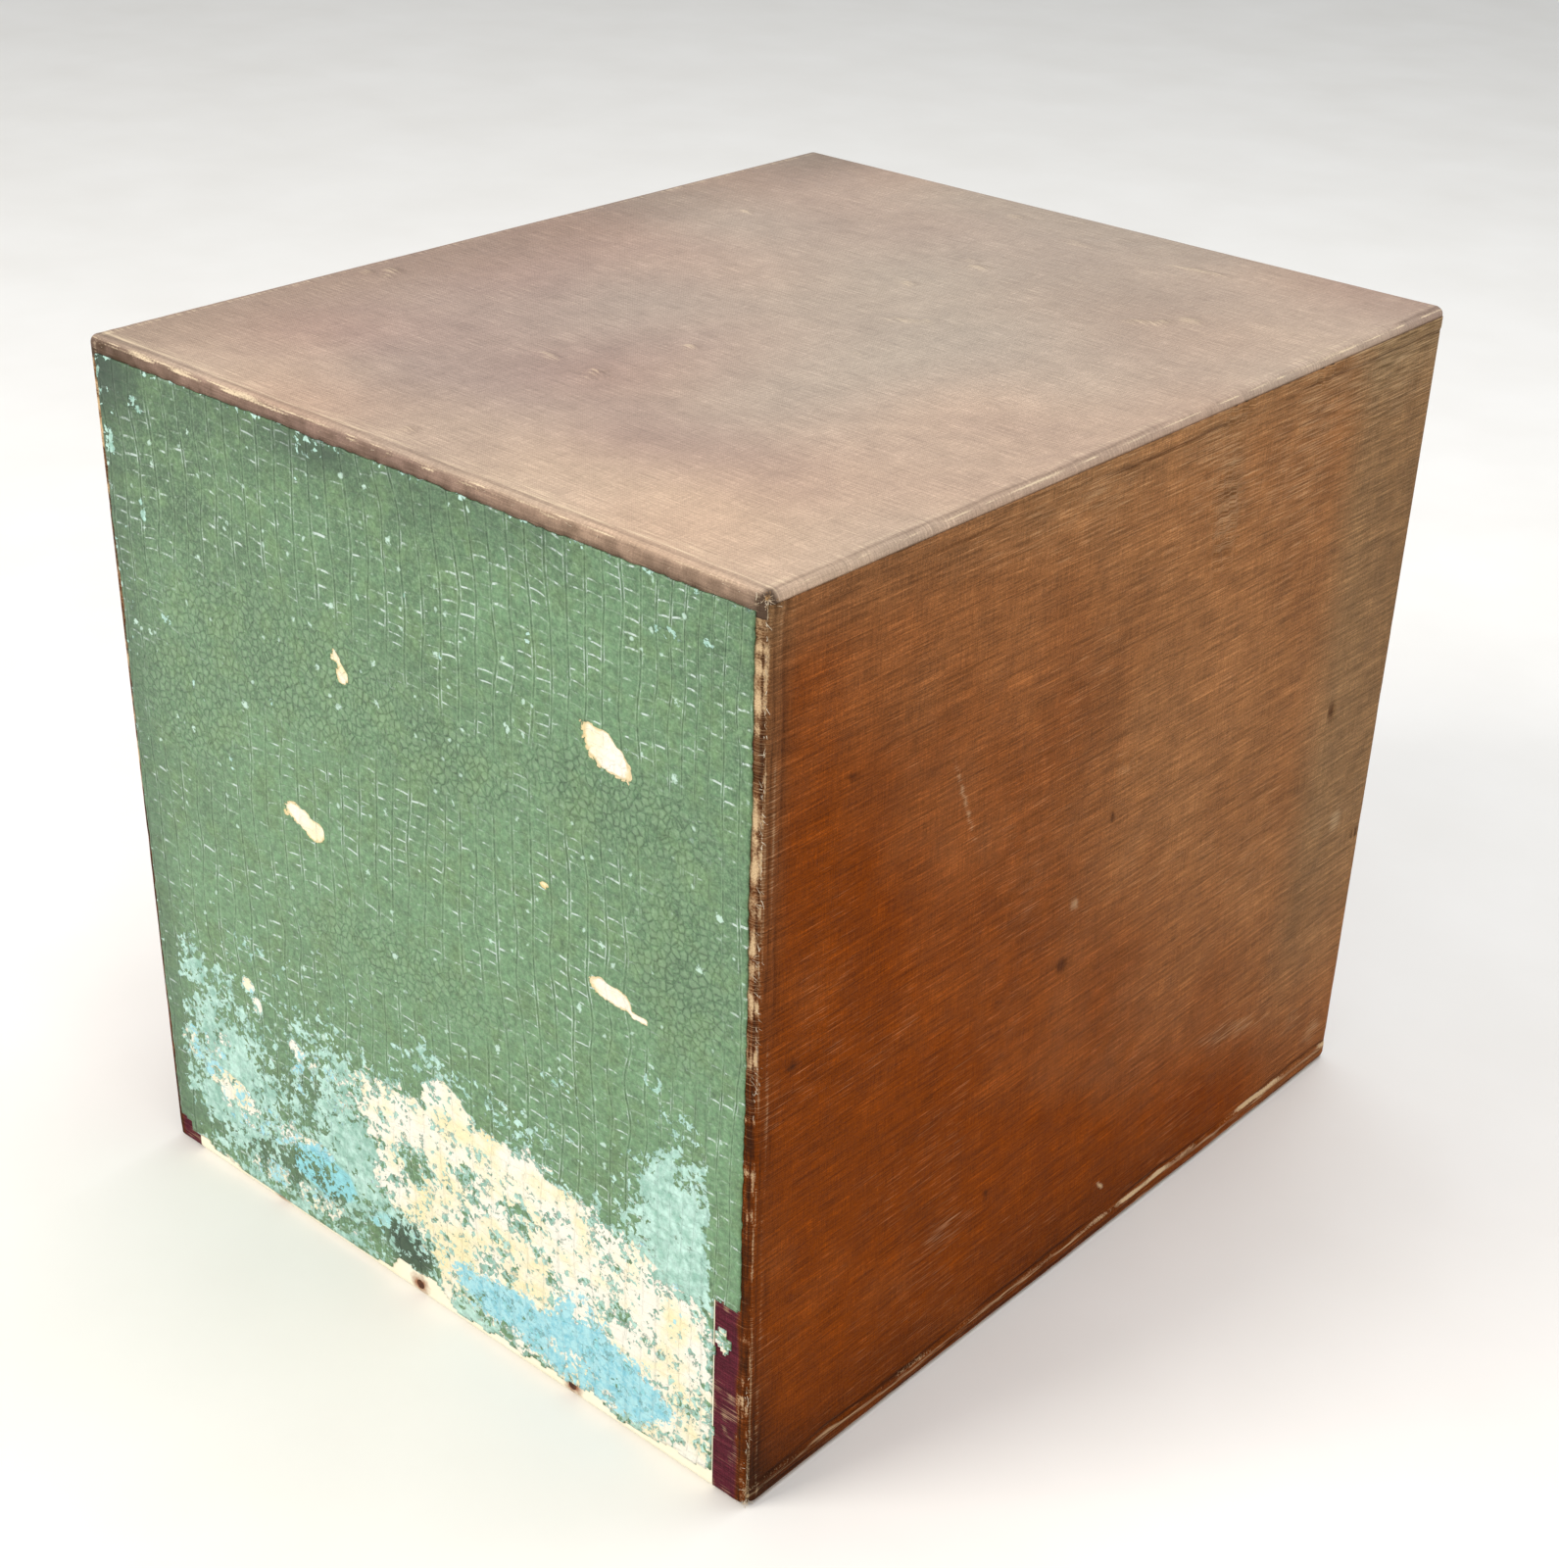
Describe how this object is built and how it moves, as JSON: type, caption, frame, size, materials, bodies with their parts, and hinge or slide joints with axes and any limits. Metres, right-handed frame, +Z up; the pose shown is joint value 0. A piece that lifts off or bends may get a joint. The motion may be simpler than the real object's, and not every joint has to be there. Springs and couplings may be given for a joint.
{
  "type": "covered box",
  "caption": "Cube-like wooden box covered in bookcloth, lying on its side: worn embossed-paper base, inset hinged lid with a ring pull and turn button.",
  "frame": {"origin": "on the ground under the middle of the whole object's box, as it lies on its side", "axes": "+Z up as it lies, -Y out of the papered base, +Y out of the mouth, +X out of the right side"},
  "size_m": [0.32, 0.3938, 0.344],
  "materials": {
    "bare_wood": "unvarnished softwood, darkened with age",
    "faded_bookcloth": "brown bookcloth faded to mauve grey, fine weave",
    "brown_bookcloth": "brown bookcloth, linen weave, rubbed along the edges",
    "embossed_paper": "dark green reptile-embossed covering paper, worn",
    "facing": "cream-white primed facing, stained",
    "lining_paper": "plain buff lining paper",
    "brass": "old rolled brass, dulled",
    "iron_nails": "rusted wire nails"
  },
  "bodies": {
    "box": {"top_board": "bare_wood", "bottom_board": "bare_wood", "left_board": "bare_wood", "right_board": "bare_wood", "base_board": "bare_wood", "corner_blocks": "bare_wood", "side_nails": "iron_nails", "base_nails": "iron_nails", "stop_top": "bare_wood", "stop_bottom": "bare_wood", "stop_left": "bare_wood", "stop_right": "bare_wood", "stop_pins": "iron_nails", "top_cloth": "faded_bookcloth", "bottom_cloth": "brown_bookcloth", "left_cloth": "brown_bookcloth", "right_cloth": "brown_bookcloth", "base_facing": "facing", "base_paper": "embossed_paper", "lining_top": "lining_paper", "lining_bottom": "lining_paper", "lining_left": "lining_paper", "lining_right": "lining_paper", "lining_base": "lining_paper", "hinge_box_leaves": "brass", "hinge_pins": "brass", "hinge_box_screws": "brass", "button_washer": "brass", "button_screw": "brass"},
    "lid": {"lid_board": "bare_wood", "lid_cloth": "brown_bookcloth", "lid_lining": "lining_paper", "hinge_lid_leaves": "brass", "hinge_lid_screws": "brass", "pull_plate": "brass", "plate_pins": "brass"},
    "ring": {"pull_ring": "brass"},
    "button": {"turn_button": "brass"}
  },
  "joints": [
    {"name": "lid_hinge", "type": "hinge", "parent": "box", "child": "lid", "pos_m": [0, 0.19402, 0.3333], "axis": [1, 0, 0], "range_deg": [0, 180]},
    {"name": "ring_swing", "type": "hinge", "parent": "lid", "child": "ring", "pos_m": [0, 0.19435, 0.07835], "axis": [1, 0, 0], "range_deg": [-3, 180]},
    {"name": "button_turn", "type": "hinge", "parent": "box", "child": "button", "pos_m": [0, 0.19172, 0.00505], "axis": [0, -1, 0], "range_deg": [0, 180]}
  ]
}
